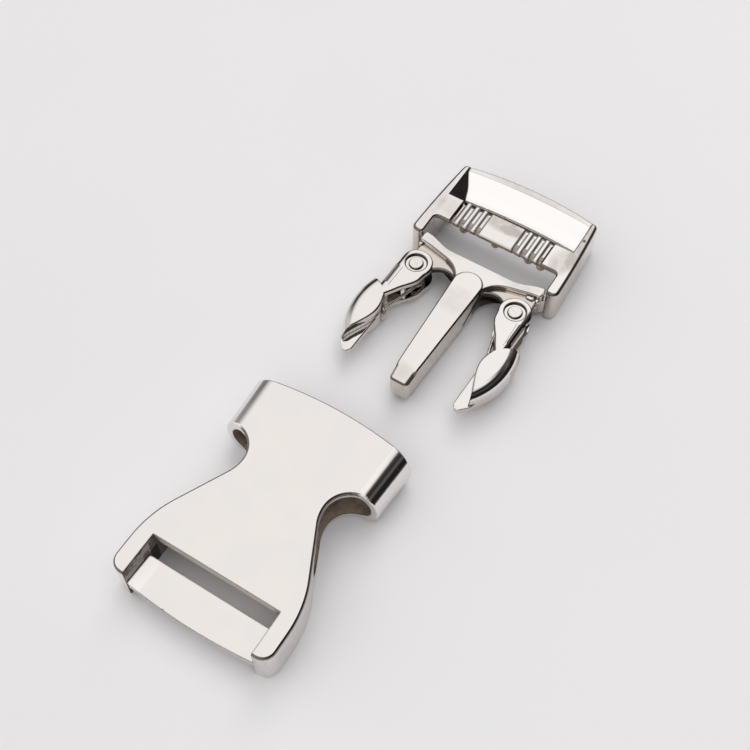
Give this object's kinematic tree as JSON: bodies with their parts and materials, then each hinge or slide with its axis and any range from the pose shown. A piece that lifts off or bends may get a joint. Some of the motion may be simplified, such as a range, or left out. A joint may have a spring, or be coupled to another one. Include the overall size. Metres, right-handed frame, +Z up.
{
  "type": "metal side release buckle",
  "caption": "Polished metal side release buckle for flat webbing, unfastened: a hollow socket with side windows, and a plug with a centre tongue and sprung hooked arms.",
  "frame": {"origin": "middle of the footprint of both halves as they lie, on the surface they rest on", "axes": "+Y from the socket's strap end to the plug's end bar, +Z up, +X to the right seen from the socket with +Y ahead"},
  "size_m": [0.0374, 0.1064, 0.0088],
  "materials": {
    "polished_nickel": "polished nickel plating on die-cast zinc, dull where it isn't polished",
    "pin_steel": "plated steel rivet pins",
    "spring_wire": "bright drawn spring wire"
  },
  "bodies": {
    "socket": {"socket": "polished_nickel"},
    "plug": {"plug_frame": "polished_nickel", "pin_left": "pin_steel", "pin_right": "pin_steel", "spring_left": "spring_wire", "spring_right": "spring_wire"},
    "arm_left": {"arm_left": "polished_nickel"},
    "arm_right": {"arm_right": "polished_nickel"}
  },
  "joints": [
    {"name": "plug_slide", "type": "slide", "parent": "socket", "child": "plug", "axis": [-0.3142, -0.9494, 0], "range_m": [0, 0.01633]},
    {"name": "arm_left_hinge", "type": "hinge", "parent": "plug", "child": "arm_left", "pos_m": [-0.00803, 0.02631, 0.00435], "axis": [0, 0, 1], "range_deg": [0, 16], "stiffness_Nm_per_rad": 0.25, "springref_deg": -11.46, "deforming": ["spring_left"]},
    {"name": "arm_right_hinge", "type": "hinge", "parent": "plug", "child": "arm_right", "pos_m": [0.01307, 0.02631, 0.00435], "axis": [0, 0, -1], "range_deg": [0, 16], "stiffness_Nm_per_rad": 0.25, "springref_deg": -11.46, "deforming": ["spring_right"]}
  ]
}
